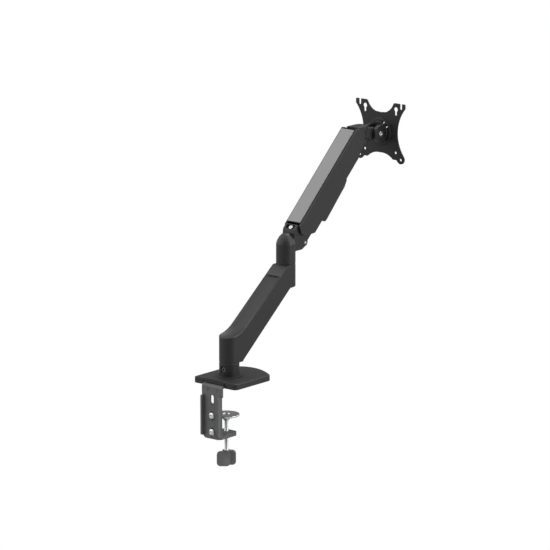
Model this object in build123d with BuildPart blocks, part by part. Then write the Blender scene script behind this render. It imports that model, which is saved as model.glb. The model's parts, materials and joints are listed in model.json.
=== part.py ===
from build123d import *
import os
from math import cos, radians, sin

# Gas-spring monitor arm with a desk clamp.
# Millimetres, +Z up.  The origin is on the desk top, on the axis of the base
# post.  +X is the way the arm reaches, out over the desk; the desk's edge and
# the clamp are on the -X side.

os.makedirs("parts", exist_ok=True)

# ---------------------------------------------------------------- dimensions

# fits
running = 0.05              # radial clearance of a shaft that turns in its bore
gap = 0.3                   # space between faces of parts that move past each other

# clamp bracket and jaw, folded from steel plate
plate_t = 3.5
leg_face_x = -50.0          # rear face of the upright leg
leg_top_half = 24.5
leg_half = 22.0
shoulder_z = -14.5          # the leg narrows here and its side flanges start
leg_bottom_z = -98.5
foot_front_x = 49.0
flange_depth = 7.5
slot_w = 8.5
slot_len = 17.0
slot_top_z = -22.5
slot_pitch = 31.25
jaw_top_z = -91.0
jaw_half = 19.5
jaw_leg_above = 13.0        # the jaw's own leg, above its upper screw
jaw_tip_x = 4.0

# clamp screw, M8 with a 1.25 mm pitch
rod_x = -9.0
rod_r = 4.0
disc_r = 25.0
disc_top_z = -58.0
disc_t = 3.5
knob_top_z = -130.0
knob_h = 27.0

# base
pad_t = 1.5
cover_rear_x = -43.0
cover_corner_x = 57.0
cover_nose_x = 72.0
cover_half = 52.0
cover_edge_h = 11.3
cover_crown_h = 15.0
cover_wall = 2.5

# post and the swivel at the foot of the lower arm
post_r = 19.0
post_seam_z = 39.0
spindle_r = 13.0
spindle_top_z = 84.0
bush_wall = 2.0

# lower arm, one casting
elbow_x = 165.0
elbow_r = 18.4
foot_rim_z = 90.7
arm_foot_z = post_seam_z + 1.0
elbow_seam_z = 198.5
elbow_foot_z = 156.0
lower_slope = 37.8          # degrees
lower_top = (30.0, 105.55)  # where the straight top edge starts
foot_blend_r = 71.6
lower_wall = 3.5

# parallelogram of the spring arm: two equal links between the elbow and the head
lift_angle = 43.3           # degrees above level, as stored
link_len = 222.0
pivot_a = (205.4, 259.7)    # spring arm on the elbow bracket
pivot_c = (206.0, 234.5)    # lower link on the elbow bracket
pin_r = 4.0
link_pin_r = 3.0

# half-widths of the nested layers of the spring arm, from the middle outwards
link_in = 9.1
link_out = 11.1
cheek_in = 11.4
cheek_out = 14.4
wall_in = 14.7
wall_out = 16.7
side_out = 19.0

# gas spring
cylinder_r = 8.5
spring_rod_r = 4.0
spring_top = (190.0, 1.0)   # its fixed pin, along and above the arm's own axis

# tension adjuster: a screw square to the arm, at its low end
adjuster_along = -14.2
slider_above = -10.0
adjuster_r = 3.0

# head
swivel_x = 388.0
ear_r = 14.4
ear_top_z = 431.0
knuckle_top_z = 421.2
knuckle_low_z = 404.3
lower_ear_z = 397.7
tilt_x = 431.0
head_z = 410.0
tilt_r = 16.5
hub_face_x = 446.2

# screen plate
plate_back_x = 449.5
screen_plate_t = 2.5
dish_r = 27.0
dish_depth = 3.0
vesa_small = 37.5           # half of the 75 mm pattern
vesa_large = 50.0           # half of the 100 mm pattern
vesa_hole_r = 2.5

# ---------------------------------------------------------------- directions

along_x = cos(radians(lift_angle))
along_z = sin(radians(lift_angle))
pivot_b = (pivot_a[0] + link_len * along_x, pivot_a[1] + link_len * along_z)
pivot_d = (pivot_c[0] + link_len * along_x, pivot_c[1] + link_len * along_z)

# The spring arm's own plane: x runs up the arm from pivot A, y stands square to
# it, and the plane's normal is -Y.
arm_plane = Plane(
    origin=(pivot_a[0], 0, pivot_a[1]),
    x_dir=(along_x, 0, along_z),
    z_dir=(0, -1, 0),
)


def on_arm(along, above):
    """The (x, z) place of a point given along and above the spring arm's axis."""
    return (
        pivot_a[0] + along * along_x - above * along_z,
        pivot_a[1] + along * along_z + above * along_x,
    )


def arm_coordinates(point):
    """How far an (x, z) point lies along and above the spring arm's axis."""
    dx = point[0] - pivot_a[0]
    dz = point[1] - pivot_a[1]
    return (dx * along_x + dz * along_z, dz * along_x - dx * along_z)


def side_plane(y):
    """The upright plane at this y, drawn in X and Z, with its normal along -Y."""
    return Plane.XZ.offset(-y)


def finish(part, name):
    """Label one finished piece and write it to its own file."""
    part.label = name
    export_step(part, f"parts/{name}.step")


# ---------------------------------------------------------------- desk clamp

leg_in_x = leg_face_x + plate_t
plate_low_z = pad_t
plate_high_z = pad_t + plate_t
slot_zs = [slot_top_z - i * slot_pitch for i in range(3)]
screw_zs = slot_zs[1:]

# Rear bracket: a flat foot under the cover, bent down into an upright leg whose
# lower part is stiffened by two flanges turned outwards.
with BuildPart() as rear_bracket:
    with BuildSketch(Plane.XZ):
        with BuildLine():
            FilletPolyline(
                (foot_front_x - plate_t / 2, (plate_low_z + plate_high_z) / 2),
                (leg_face_x + plate_t / 2, (plate_low_z + plate_high_z) / 2),
                (leg_face_x + plate_t / 2, shoulder_z),
                radius=plate_t,
            )
            offset(amount=plate_t / 2, side=Side.BOTH, kind=Kind.INTERSECTION)
        make_face()
    extrude(amount=leg_top_half, both=True)
    with BuildSketch(Plane.YZ.offset(leg_face_x)):
        with Locations((0, (shoulder_z + leg_bottom_z) / 2)):
            leg = Rectangle(2 * leg_half, shoulder_z - leg_bottom_z)
        fillet(leg.vertices().group_by(Axis.Y)[0], radius=8.0)
    extrude(amount=plate_t)
    flange_top = shoulder_z - 1.0
    flange_low = leg_bottom_z + 6.0
    for side in (-1, 1):
        with BuildSketch(side_plane(max(side * leg_half, side * leg_half - side * plate_t))):
            with Locations((leg_face_x - flange_depth / 2 + 0.5, (flange_top + flange_low) / 2)):
                tab = Rectangle(flange_depth + 1.0, flange_top - flange_low)
            fillet(tab.vertices().group_by(Axis.X)[0], radius=3.0)
        extrude(amount=plate_t)
    with BuildSketch(Plane.YZ.offset(leg_face_x)):
        for z in slot_zs:
            with Locations((0, z)):
                SlotOverall(slot_len, slot_w, rotation=90)
    extrude(amount=plate_t, mode=Mode.SUBTRACT)
    # small ribs pressed across the bend
    with Locations(*[(leg_face_x, y, -3.0) for y in (-11.0, 11.0)]):
        Box(1.6, 3.0, 7.0)
    # the holes that the post's screws come up through
    with BuildSketch(Plane.XY.offset(plate_low_z)):
        with PolarLocations(9.0, 4, start_angle=45):
            Circle(2.6)
    extrude(amount=plate_t, mode=Mode.SUBTRACT)
finish(rear_bracket.part, "rear_bracket")

# Jaw: an angle bolted to the leg, with a lip down each side of its tongue.
with BuildPart() as jaw_bracket:
    with BuildSketch(Plane.XZ):
        with BuildLine():
            FilletPolyline(
                (leg_in_x + plate_t / 2, slot_zs[1] + jaw_leg_above),
                (leg_in_x + plate_t / 2, jaw_top_z - plate_t / 2),
                (jaw_tip_x - plate_t / 2, jaw_top_z - plate_t / 2),
                radius=plate_t,
            )
            offset(amount=plate_t / 2, side=Side.BOTH, kind=Kind.INTERSECTION)
        make_face()
    extrude(amount=jaw_half, both=True)
    lip_t = 3.0
    for side in (-1, 1):
        with BuildSketch(side_plane(max(side * jaw_half, side * jaw_half - side * lip_t))):
            with BuildLine():
                Polyline(
                    (leg_in_x, jaw_top_z - 3.0),
                    (leg_in_x, leg_bottom_z),
                    (jaw_tip_x, leg_bottom_z),
                    (jaw_tip_x, jaw_top_z - 0.5),
                    (leg_in_x + plate_t, jaw_top_z - 0.5),
                    close=True,
                )
            make_face()
        extrude(amount=lip_t)
    # the tongue's front corners are cut back
    with BuildSketch(Plane.XY.offset(jaw_top_z)):
        for side in (-1, 1):
            with BuildLine():
                Polyline(
                    (jaw_tip_x + 1.0, side * (jaw_half + 1.0)),
                    (jaw_tip_x + 1.0, side * (jaw_half - 7.0)),
                    (jaw_tip_x - 8.0, side * (jaw_half + 1.0)),
                    close=True,
                )
            make_face()
    extrude(amount=leg_bottom_z - jaw_top_z - 1.0, mode=Mode.SUBTRACT)
    with BuildSketch(Plane.XY.offset(jaw_top_z)):
        with Locations((rod_x, 0)):
            Circle(rod_r + running)
    extrude(amount=-plate_t, mode=Mode.SUBTRACT)
    with BuildSketch(Plane.YZ.offset(leg_in_x)):
        with Locations(*[(0, z) for z in screw_zs]):
            Circle(3.0)
    extrude(amount=plate_t, mode=Mode.SUBTRACT)
finish(jaw_bracket.part, "jaw_bracket")

# Weld nut under the jaw, which the clamp screw runs in.
with BuildPart() as clamp_nut:
    with BuildSketch(Plane.XY.offset(jaw_top_z - plate_t)):
        with Locations((rod_x, 0)):
            RegularPolygon(6.5, 6, major_radius=False, rotation=30)
            Circle(rod_r + running, mode=Mode.SUBTRACT)
    extrude(amount=-6.5)
    chamfer(clamp_nut.faces().sort_by(Axis.Z)[0].outer_wire().edges(), length=0.6)
finish(clamp_nut.part, "clamp_nut")

# Two pan-head screws that hold the jaw on the leg at the chosen height.
with BuildPart() as jaw_screws:
    for z in screw_zs:
        with BuildSketch(Plane.YZ.offset(leg_face_x)):
            with Locations((0, z)):
                Circle(6.4)
        extrude(amount=-3.6)
        with BuildSketch(Plane.YZ.offset(leg_face_x)):
            with Locations((0, z)):
                Circle(3.0)
        extrude(amount=2 * plate_t + 1.5)
    chamfer(jaw_screws.faces().group_by(Axis.X)[0].edges(), length=1.3)
    with BuildSketch(Plane.YZ.offset(leg_face_x - 3.6)):
        with Locations(*[(0, z) for z in screw_zs]):
            RegularPolygon(2.2, 6, major_radius=False)
    extrude(amount=2.4, mode=Mode.SUBTRACT)
finish(jaw_screws.part, "jaw_screws")

# Pressure disc that bears on the underside of the desk; it turns on the screw's end.
disc_low_z = disc_top_z - disc_t
hub_low_z = disc_low_z - 8.5
neck_r = 3.0
with BuildPart() as pressure_disc:
    with BuildSketch(Plane.XZ):
        with BuildLine():
            Polyline(
                (rod_x + neck_r + running, hub_low_z),
                (rod_x + 6.0, hub_low_z),
                (rod_x + 9.0, disc_low_z),
                (rod_x + disc_r - 0.8, disc_low_z),
                (rod_x + disc_r, disc_low_z + 0.8),
                (rod_x + disc_r, disc_top_z - 0.8),
                (rod_x + disc_r - 0.8, disc_top_z),
                (rod_x + 6.5, disc_top_z),
                (rod_x + 5.5, disc_top_z - 2.0),
                (rod_x + neck_r + running, disc_top_z - 2.0),
                close=True,
            )
        make_face()
    revolve(axis=Axis((rod_x, 0, 0), (0, 0, 1)))
finish(pressure_disc.part, "pressure_disc")

# Clamp screw: the threaded rod, its turned-down neck and the riveted head that
# keeps the disc on.
rod_low_z = knob_top_z - 14.0
with BuildPart() as clamp_screw:
    with BuildSketch(Plane.XZ):
        with BuildLine():
            Polyline(
                (rod_x, rod_low_z),
                (rod_x + rod_r, rod_low_z),
                (rod_x + rod_r, hub_low_z - 0.9),
                (rod_x + rod_r - 0.5, hub_low_z - gap),
                (rod_x + neck_r, hub_low_z - gap),
                (rod_x + neck_r, disc_top_z - 2.0 + gap / 2),
                (rod_x + 4.8, disc_top_z - 2.0 + gap / 2),
                (rod_x + 4.8, disc_top_z - 1.0),
                (rod_x + 3.6, disc_top_z - 0.3),
                (rod_x, disc_top_z - 0.3),
                close=True,
            )
        make_face()
    revolve(axis=Axis((rod_x, 0, 0), (0, 0, 1)))
finish(clamp_screw.part, "clamp_screw")

# Knob: two upright lobes set off to either side of the screw, so it reads as an S
# from below and gives the fingers a face to push in both directions.
lobe_len = 25.5
lobe_offset = 5.2
lobe_t = 10.0
lobe_turn = -50.0           # degrees about Z
knob_plane = Plane(
    origin=(rod_x, 0, knob_top_z),
    x_dir=(cos(radians(lobe_turn)), sin(radians(lobe_turn)), 0),
    z_dir=(0, 0, 1),
)
with BuildPart() as clamp_knob:
    for side in (-1, 1):
        lobe_plane = Plane(
            origin=knob_plane.from_local_coords(
                (side * lobe_offset, (side - 1) * lobe_t / 2, -knob_h / 2)
            ),
            x_dir=knob_plane.x_dir,
            z_dir=-knob_plane.y_dir,
        )
        with BuildSketch(lobe_plane):
            Rectangle(lobe_len, knob_h)
        extrude(amount=-lobe_t)
    corner_edges = clamp_knob.edges().filter_by(Axis(origin=(0, 0, 0), direction=knob_plane.y_dir))
    fillet(corner_edges.filter_by(lambda e: abs(e.center().Z - knob_top_z) < 0.1
                                  or abs(e.center().Z - knob_top_z + knob_h) < 0.1), radius=7.0)
    with BuildSketch(knob_plane):
        Circle(7.5)
    extrude(amount=2.0)
    with BuildSketch(knob_plane.offset(2.0)):
        Circle(rod_r)
    extrude(amount=-16.0, mode=Mode.SUBTRACT)
finish(clamp_knob.part, "clamp_knob")


# ---------------------------------------------------------------- base

base_pad_x = (-44.0, 46.0)
rim_z = 0.8


def cover_outline(inset):
    """The base cover's plan: straight at the desk's edge, bowed towards the user."""
    with BuildSketch() as outline:
        with BuildLine():
            Polyline(
                (cover_corner_x - inset, -cover_half + inset),
                (cover_rear_x + inset, -cover_half + inset),
                (cover_rear_x + inset, cover_half - inset),
                (cover_corner_x - inset, cover_half - inset),
            )
            ThreePointArc(
                (cover_corner_x - inset, cover_half - inset),
                (cover_nose_x - inset, 0),
                (cover_corner_x - inset, -cover_half + inset),
            )
        make_face()
        fillet(outline.vertices(), radius=8.0 - inset)
    return outline.sketch


def crowned_block(drop):
    """A block whose top is crowned from side to side, lowered by drop."""
    with BuildPart() as block:
        with BuildSketch(Plane.YZ.offset(cover_rear_x - 1.0)):
            with BuildLine():
                Polyline(
                    (-cover_half - 1.0, cover_edge_h - drop),
                    (-cover_half - 1.0, -1.0),
                    (cover_half + 1.0, -1.0),
                    (cover_half + 1.0, cover_edge_h - drop),
                )
                ThreePointArc(
                    (cover_half + 1.0, cover_edge_h - drop),
                    (0, cover_crown_h - drop),
                    (-cover_half - 1.0, cover_edge_h - drop),
                )
            make_face()
        extrude(amount=cover_nose_x - cover_rear_x + 2.0)
    return block.part


# Base cover: a thin moulding over the bracket's foot, open underneath.
with BuildPart() as base_cover:
    with BuildSketch(Plane.XY.offset(rim_z)):
        add(cover_outline(0.0))
    extrude(amount=cover_crown_h)
    add(crowned_block(0.0), mode=Mode.INTERSECT)
    fillet(base_cover.edges().group_by(Axis.Z)[-1] + base_cover.edges().filter_by(
        lambda e: e.center().Z > cover_edge_h - 0.6 and abs(e.tangent_at(0.5).Z) < 0.5), radius=1.2)
    with BuildPart(mode=Mode.PRIVATE) as hollow:
        with BuildSketch(Plane.XY.offset(rim_z - 1.0)):
            add(cover_outline(cover_wall))
        extrude(amount=cover_crown_h)
        add(crowned_block(cover_wall), mode=Mode.INTERSECT)
    add(hollow.part, mode=Mode.SUBTRACT)
    with BuildSketch(Plane.XY):
        Circle(post_r + running)
    extrude(amount=2 * cover_crown_h, mode=Mode.SUBTRACT)
    # the bracket's foot comes in under the rear wall
    with Locations((cover_rear_x, 0, rim_z)):
        Box(3 * cover_wall, 2 * leg_top_half + 1.0, 5.0,
            align=(Align.CENTER, Align.CENTER, Align.MIN), mode=Mode.SUBTRACT)
    # with a small blind dimple at each side of it
    with BuildSketch(Plane.YZ.offset(cover_rear_x - 1.0)):
        for side in (-1, 1):
            with Locations((side * (leg_top_half + 0.5), 6.6)):
                Circle(2.4)
    extrude(amount=1.0 + 0.7 * cover_wall, mode=Mode.SUBTRACT)
finish(base_cover.part, "base_cover")

# Foam pad under the bracket's foot, with a hole round each of the post's screws.
with BuildPart() as desk_pads:
    with BuildSketch(Plane.XY):
        with Locations(((base_pad_x[0] + base_pad_x[1]) / 2, 0)):
            RectangleRounded(base_pad_x[1] - base_pad_x[0], 2 * leg_top_half - 4.0, 3.0)
        with PolarLocations(9.0, 4, start_angle=45):
            Circle(5.5, mode=Mode.SUBTRACT)
    extrude(amount=plate_low_z)
finish(desk_pads.part, "desk_pads")

# Ribbed feet inside the cover that carry its rim on the desk.
foot_ys = (-cover_half + 9.0, cover_half - 9.0)
with BuildPart() as cover_feet:
    for y in foot_ys:
        with BuildSketch(Plane.XY):
            with Locations((10.0, y)):
                SlotOverall(70.0, 9.0)
        extrude(amount=8.0)
finish(cover_feet.part, "cover_feet")

# Post: the collar that shows above the cover, and the spindle the arm turns on.
set_screw_z = 27.8
with BuildPart() as post:
    with BuildSketch(Plane.XZ):
        with BuildLine():
            Polyline(
                (0, plate_high_z),
                (post_r, plate_high_z),
                (post_r, post_seam_z - 0.6),
                (post_r - 0.6, post_seam_z),
                (spindle_r, post_seam_z),
                (spindle_r, spindle_top_z - 1.0),
                (spindle_r - 1.0, spindle_top_z),
                (0, spindle_top_z),
                close=True,
            )
        make_face()
    revolve(axis=Axis.Z)
    with BuildSketch(Plane.YZ.offset(-post_r - 1.0)):
        with Locations((0, set_screw_z)):
            Circle(6.5)
    extrude(amount=3.6, mode=Mode.SUBTRACT)
    with BuildSketch(Plane.YZ.offset(-post_r)):
        with Locations((0, set_screw_z)):
            Circle(4.0)
    extrude(amount=12.0, mode=Mode.SUBTRACT)
    with BuildSketch(Plane.XY.offset(plate_high_z)):
        with PolarLocations(9.0, 4, start_angle=45):
            Circle(2.5)
    extrude(amount=14.0, mode=Mode.SUBTRACT)
finish(post.part, "post")

with BuildPart() as set_screw:
    with BuildSketch(Plane.YZ.offset(-post_r + 2.9)):
        with Locations((0, set_screw_z)):
            Circle(4.0)
            RegularPolygon(2.0, 6, major_radius=False, mode=Mode.SUBTRACT)
    extrude(amount=3.0)
    with BuildSketch(Plane.YZ.offset(-post_r + 5.9)):
        with Locations((0, set_screw_z)):
            Circle(4.0)
    extrude(amount=3.0)
finish(set_screw.part, "set_screw")

# Skirt ring that covers the joint between the post and the cover.
with BuildPart() as skirt_ring:
    with BuildSketch(Plane.XZ):
        with BuildLine():
            Polyline(
                (post_r + running, cover_crown_h),
                (25.5, cover_crown_h),
                (25.5, cover_crown_h + 0.6),
                (post_r + 2.0, cover_crown_h + 1.8),
                (post_r + running, cover_crown_h + 1.8),
                close=True,
            )
        make_face()
    revolve(axis=Axis.Z)
finish(skirt_ring.part, "skirt_ring")

# Four screws that hold the post on the bracket's foot from below.
with BuildPart() as post_screws:
    with BuildSketch(Plane.XY.offset(plate_low_z)):
        with PolarLocations(9.0, 4, start_angle=45):
            Circle(2.5)
    extrude(amount=plate_t + 12.0)
    with BuildSketch(Plane.XY.offset(0.3)):
        with PolarLocations(9.0, 4, start_angle=45):
            Circle(4.5)
    extrude(amount=plate_low_z - 0.3)
finish(post_screws.part, "post_screws")


# ---------------------------------------------------------------- lower arm

slope_x = cos(radians(lower_slope))
slope_z = sin(radians(lower_slope))
arm_slope = Plane(
    origin=(lower_top[0], 0, lower_top[1]),
    x_dir=(slope_x, 0, slope_z),
    z_dir=(0, -1, 0),
)
blend_centre = (lower_top[0] - foot_blend_r * slope_z, lower_top[1] + foot_blend_r * slope_x)
belly_z = 42.0              # where the underside leaves the foot
belly_end = (157.0, 155.4)
blend_angle = 42.0          # how far the blend turns, in degrees
trough_len = 124.0
trough_depth = 2.2
trough_half = 16.2
stub_r = 10.0
ledge_top_z = 172.5         # the elbow's stub and its bush end here
ledge_t = 4.0


def stadium(foot_radius, head_radius):
    """Plan of the lower arm: two round ends joined by their common tangents."""
    with BuildSketch() as plan:
        Circle(foot_radius)
        with Locations((elbow_x, 0)):
            Circle(head_radius)
        with BuildLine():
            Polyline(
                (0, foot_radius),
                (elbow_x, head_radius),
                (elbow_x, -head_radius),
                (0, -foot_radius),
                close=True,
            )
        make_face()
    return plan.sketch


def lens(depth, half):
    """Cross-section of the trough: a flat-topped segment of a circle."""
    with BuildSketch() as section:
        with BuildLine():
            ThreePointArc((-half, 0), (0, -depth), (half, 0))
            Polyline((half, 0), (half, 6.0), (-half, 6.0), (-half, 0))
        make_face()
    return section.sketch


# Lower arm: an upright barrel at each end and a slanted beam between them, hollow
# from below so that cables can run inside it.
with BuildPart() as lower_arm:
    with BuildSketch(Plane.XZ):
        with BuildLine():
            Polyline(
                (-post_r, foot_rim_z),
                (-post_r, arm_foot_z),
                (post_r, arm_foot_z),
                (post_r, belly_z),
                (belly_end[0], belly_end[1]),
                (elbow_x + elbow_r, elbow_foot_z),
                (elbow_x + elbow_r, elbow_seam_z),
                (elbow_x - elbow_r + 2.0, elbow_seam_z),
                lower_top,
            )
            RadiusArc(lower_top, (-post_r, foot_rim_z), foot_blend_r)
        make_face()
    extrude(amount=post_r, both=True)
    with BuildPart(mode=Mode.INTERSECT):
        with BuildSketch():
            add(stadium(post_r, elbow_r))
        extrude(amount=elbow_seam_z)
    # shallow trough along the top, carried round the blend at the foot
    trough_start = Plane(
        origin=(lower_top[0], 0, lower_top[1]), x_dir=(0, 1, 0), z_dir=(slope_x, 0, slope_z)
    )
    with BuildSketch(trough_start):
        add(lens(trough_depth, trough_half))
    extrude(amount=trough_len, mode=Mode.SUBTRACT)
    with BuildSketch(trough_start):
        add(lens(trough_depth, trough_half))
    revolve(
        axis=Axis((blend_centre[0], 0, blend_centre[1]), (0, 1, 0)),
        revolution_arc=blend_angle + 8.0,
        mode=Mode.SUBTRACT,
    )
    # hollow underneath, between the two barrels
    with BuildSketch(Plane.XZ):
        with BuildLine():
            Polyline(
                (post_r + 6.0, belly_z),
                (post_r + 6.0, foot_rim_z - 1.0),
                (lower_top[0] + 5.0 * slope_z, lower_top[1] - 5.0 * slope_x - 2.5),
                (elbow_x - elbow_r - 4.0, elbow_seam_z - 20.0),
                (elbow_x - elbow_r - 4.0, belly_end[1] - 20.0),
                (post_r + 60.0, belly_z),
                close=True,
            )
        make_face()
    extrude(amount=post_r - lower_wall, both=True, mode=Mode.SUBTRACT)
    # bore for the spindle and its bush
    with BuildSketch(Plane.XY.offset(arm_foot_z)):
        Circle(spindle_r + bush_wall)
    extrude(amount=spindle_top_z + 1.0 - arm_foot_z, mode=Mode.SUBTRACT)
    # bore for the elbow's stub, and the well its retaining screw sits in
    for top, depth, radius in (
        (elbow_seam_z, elbow_seam_z - ledge_top_z, stub_r + bush_wall),
        (ledge_top_z, ledge_t, 6.0),
        (ledge_top_z - ledge_t, 20.0, 10.0),
    ):
        with BuildSketch(Plane.XY.offset(top)):
            with Locations((elbow_x, 0)):
                Circle(radius)
        extrude(amount=-depth, mode=Mode.SUBTRACT)
finish(lower_arm.part, "lower_arm")

# Plain bush between the post's spindle and the lower arm, and the washer under it.
with BuildPart() as post_bush:
    with BuildSketch(Plane.XY.offset(arm_foot_z)):
        Circle(spindle_r + bush_wall)
        Circle(spindle_r + running, mode=Mode.SUBTRACT)
    extrude(amount=spindle_top_z - 2.0 - arm_foot_z)
finish(post_bush.part, "post_bush")

with BuildPart() as post_washer:
    with BuildSketch(Plane.XY.offset(post_seam_z)):
        Circle(post_r - 1.2)
        Circle(spindle_r + running, mode=Mode.SUBTRACT)
    extrude(amount=arm_foot_z - post_seam_z)
finish(post_washer.part, "post_washer")

# Cable cover that snaps into the lower arm's open underside.
cover_low = (52.0, 75.4)
cover_high = (137.0, 140.2)
with BuildPart() as lower_cable_cover:
    with BuildSketch(Plane.XZ):
        with BuildLine():
            Polyline(
                (cover_low[0] - 1.0, cover_low[1] + 1.0),
                (cover_low[0] + 3.0, cover_low[1] - 3.5),
                (cover_high[0] + 0.5, cover_high[1] - 5.0),
                (cover_high[0] + 4.5, cover_high[1] + 2.8),
                (cover_high[0] + 1.0, cover_high[1] + 5.5),
                (cover_low[0] - 4.0, cover_low[1] + 5.0),
                close=True,
            )
        make_face()
    extrude(amount=15.0, both=True)
    with BuildSketch(Plane.XZ):
        with BuildLine():
            Polyline(
                (cover_low[0] + 3.4, cover_low[1]),
                (cover_high[0] - 0.6, cover_high[1] - 2.0),
                (cover_high[0] - 12.0, cover_high[1] + 9.0),
                (cover_low[0] - 12.0, cover_low[1] + 9.0),
                close=True,
            )
        make_face()
    extrude(amount=13.0, both=True, mode=Mode.SUBTRACT)
    fillet(lower_cable_cover.edges().filter_by(GeomType.LINE).filter_by(
        lambda e: abs(abs(e.center().Y) - 15.0) < 0.1 and e.length > 50.0
        and e.center().Z < 108.0), radius=1.0)
finish(lower_cable_cover.part, "lower_cable_cover")

# Elbow bush, washer, and the screw and washer that keep the elbow's stub down.
with BuildPart() as elbow_bush:
    with BuildSketch(Plane.XY.offset(ledge_top_z)):
        with Locations((elbow_x, 0)):
            Circle(stub_r + bush_wall)
            Circle(stub_r + running, mode=Mode.SUBTRACT)
    extrude(amount=elbow_seam_z - ledge_top_z)
finish(elbow_bush.part, "elbow_bush")

washer_t = 1.0
with BuildPart() as elbow_washer:
    with BuildSketch(Plane.XY.offset(elbow_seam_z)):
        with Locations((elbow_x, 0)):
            Circle(elbow_r - 1.2)
            Circle(stub_r + running, mode=Mode.SUBTRACT)
    extrude(amount=washer_t)
finish(elbow_washer.part, "elbow_washer")

stub_low_z = ledge_top_z + 1.0
with BuildPart() as elbow_screw:
    with BuildSketch(Plane.XY.offset(ledge_top_z - ledge_t - gap)):
        with Locations((elbow_x, 0)):
            Circle(9.0)
    extrude(amount=-1.6)
    with BuildSketch(Plane.XY.offset(ledge_top_z - ledge_t - gap - 1.6)):
        with Locations((elbow_x, 0)):
            Circle(6.5)
            RegularPolygon(2.5, 6, major_radius=False, mode=Mode.SUBTRACT)
    extrude(amount=-4.5)
    with BuildSketch(Plane.XY.offset(ledge_top_z - ledge_t - gap)):
        with Locations((elbow_x, 0)):
            Circle(4.0)
    extrude(amount=16.0)
finish(elbow_screw.part, "elbow_screw")


# ---------------------------------------------------------------- elbow bracket

housing_low_z = elbow_seam_z + washer_t
dome_z = 237.0
dome_top_z = 257.0
neck_top_above = 24.7
neck_rear_z = 257.0
window = on_arm(adjuster_along, neck_top_above)
adjuster_plane = Plane(
    origin=(window[0], 0, window[1]),
    x_dir=(along_x, 0, along_z),
    z_dir=(-along_z, 0, along_x),
)


def cheek_outline():
    """One fork arm of the elbow bracket, from the housing to pivots A and C."""
    with BuildSketch() as outline:
        with BuildLine():
            Polyline(
                (170.0, 222.4),
                (172.6, 250.0),
                (172.6, neck_rear_z),
                on_arm(-19.9, neck_top_above),
                on_arm(-8.0, neck_top_above),
                on_arm(-6.5, 7.0),
                (pivot_a[0] + 2.0, pivot_a[1] + 8.8),
                (pivot_a[0] + 9.0, pivot_a[1]),
                (pivot_c[0] + 6.6, pivot_c[1]),
                (pivot_c[0] + 1.0, pivot_c[1] - 6.5),
                (196.0, 222.4),
                close=True,
            )
        make_face()
        with Locations(pivot_a):
            Circle(9.0)
        with Locations(pivot_c):
            Circle(6.6)
    return outline.sketch


# Elbow bracket: a domed housing that turns on the lower arm, a neck that holds the
# tension adjuster, and a fork for the two links.
with BuildPart() as elbow_bracket:
    with BuildSketch(Plane.XZ):
        with BuildLine():
            Polyline(
                (elbow_x, stub_low_z),
                (elbow_x + stub_r, stub_low_z),
                (elbow_x + stub_r, housing_low_z),
                (elbow_x + elbow_r - 0.8, housing_low_z),
                (elbow_x + elbow_r, housing_low_z + 0.8),
                (elbow_x + elbow_r, dome_z),
            )
            ThreePointArc(
                (elbow_x + elbow_r, dome_z),
                (elbow_x + 0.8 * elbow_r, dome_z + 0.52 * (dome_top_z - dome_z)),
                (elbow_x + 6.0, dome_top_z),
            )
            Line((elbow_x + 6.0, dome_top_z), (elbow_x, dome_top_z))
            Line((elbow_x, dome_top_z), (elbow_x, stub_low_z))
        make_face()
    revolve(axis=Axis((elbow_x, 0, 0), (0, 0, 1)))
    # the neck and the fork's root, solid between the cheeks
    with BuildSketch(Plane.XZ):
        with BuildLine():
            Polyline(
                (168.0, 226.0),
                (172.6, 250.0),
                (172.6, neck_rear_z),
                on_arm(-19.9, neck_top_above),
                on_arm(-8.0, neck_top_above),
                on_arm(-8.0, 5.0),
                on_arm(-23.0, 5.0),
                (183.4, 238.0),
                (183.4, 226.0),
                close=True,
            )
        make_face()
    extrude(amount=cheek_out, both=True)
    for low, high in ((cheek_in, cheek_out), (-cheek_out, -cheek_in)):
        with BuildSketch(side_plane(high)):
            add(cheek_outline())
        extrude(amount=high - low)
    # cross wall below the adjuster, for the screw's lower bearing
    with BuildSketch(Plane.XZ):
        with BuildLine():
            Polyline(
                (178.0, 222.4),
                (178.0, 234.0),
                on_arm(-30.0, -17.0),
                on_arm(-26.0, -20.6),
                on_arm(-10.5, -20.6),
                on_arm(-10.5, -24.0),
                (203.0, 222.4),
                close=True,
            )
        make_face()
    extrude(amount=7.5, both=True)
    # pivots A and C
    with BuildSketch(side_plane(cheek_out + 1.0)):
        with Locations(pivot_a):
            Circle(pin_r + running)
        with Locations(pivot_c):
            Circle(link_pin_r)
    extrude(amount=2 * cheek_out + 2.0, mode=Mode.SUBTRACT)
    # the adjuster's bore, and its window in the neck's sloping top
    with BuildSketch(adjuster_plane):
        Circle(adjuster_r + running)
    extrude(amount=-60.0, mode=Mode.SUBTRACT)
    with BuildSketch(adjuster_plane):
        RectangleRounded(8.6, 20.0, 1.5)
    extrude(amount=-5.0, mode=Mode.SUBTRACT)
    with BuildSketch(Plane.XY.offset(stub_low_z)):
        with Locations((elbow_x, 0)):
            Circle(4.0)
    extrude(amount=14.0, mode=Mode.SUBTRACT)
finish(elbow_bracket.part, "elbow_bracket")

# Tension adjuster: the screw, with a socket head in the window, and the block it
# moves, whose round nose the gas spring pushes on.
with BuildPart() as adjuster_screw:
    with BuildSketch(adjuster_plane.offset(-5.0)):
        Circle(3.9)
    extrude(amount=3.2)
    with BuildSketch(adjuster_plane.offset(-5.0)):
        Circle(adjuster_r)
    extrude(amount=-44.5)
    with BuildSketch(adjuster_plane.offset(-1.8)):
        RegularPolygon(2.0, 6, major_radius=False)
    extrude(amount=-2.4, mode=Mode.SUBTRACT)
finish(adjuster_screw.part, "adjuster_screw")

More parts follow.
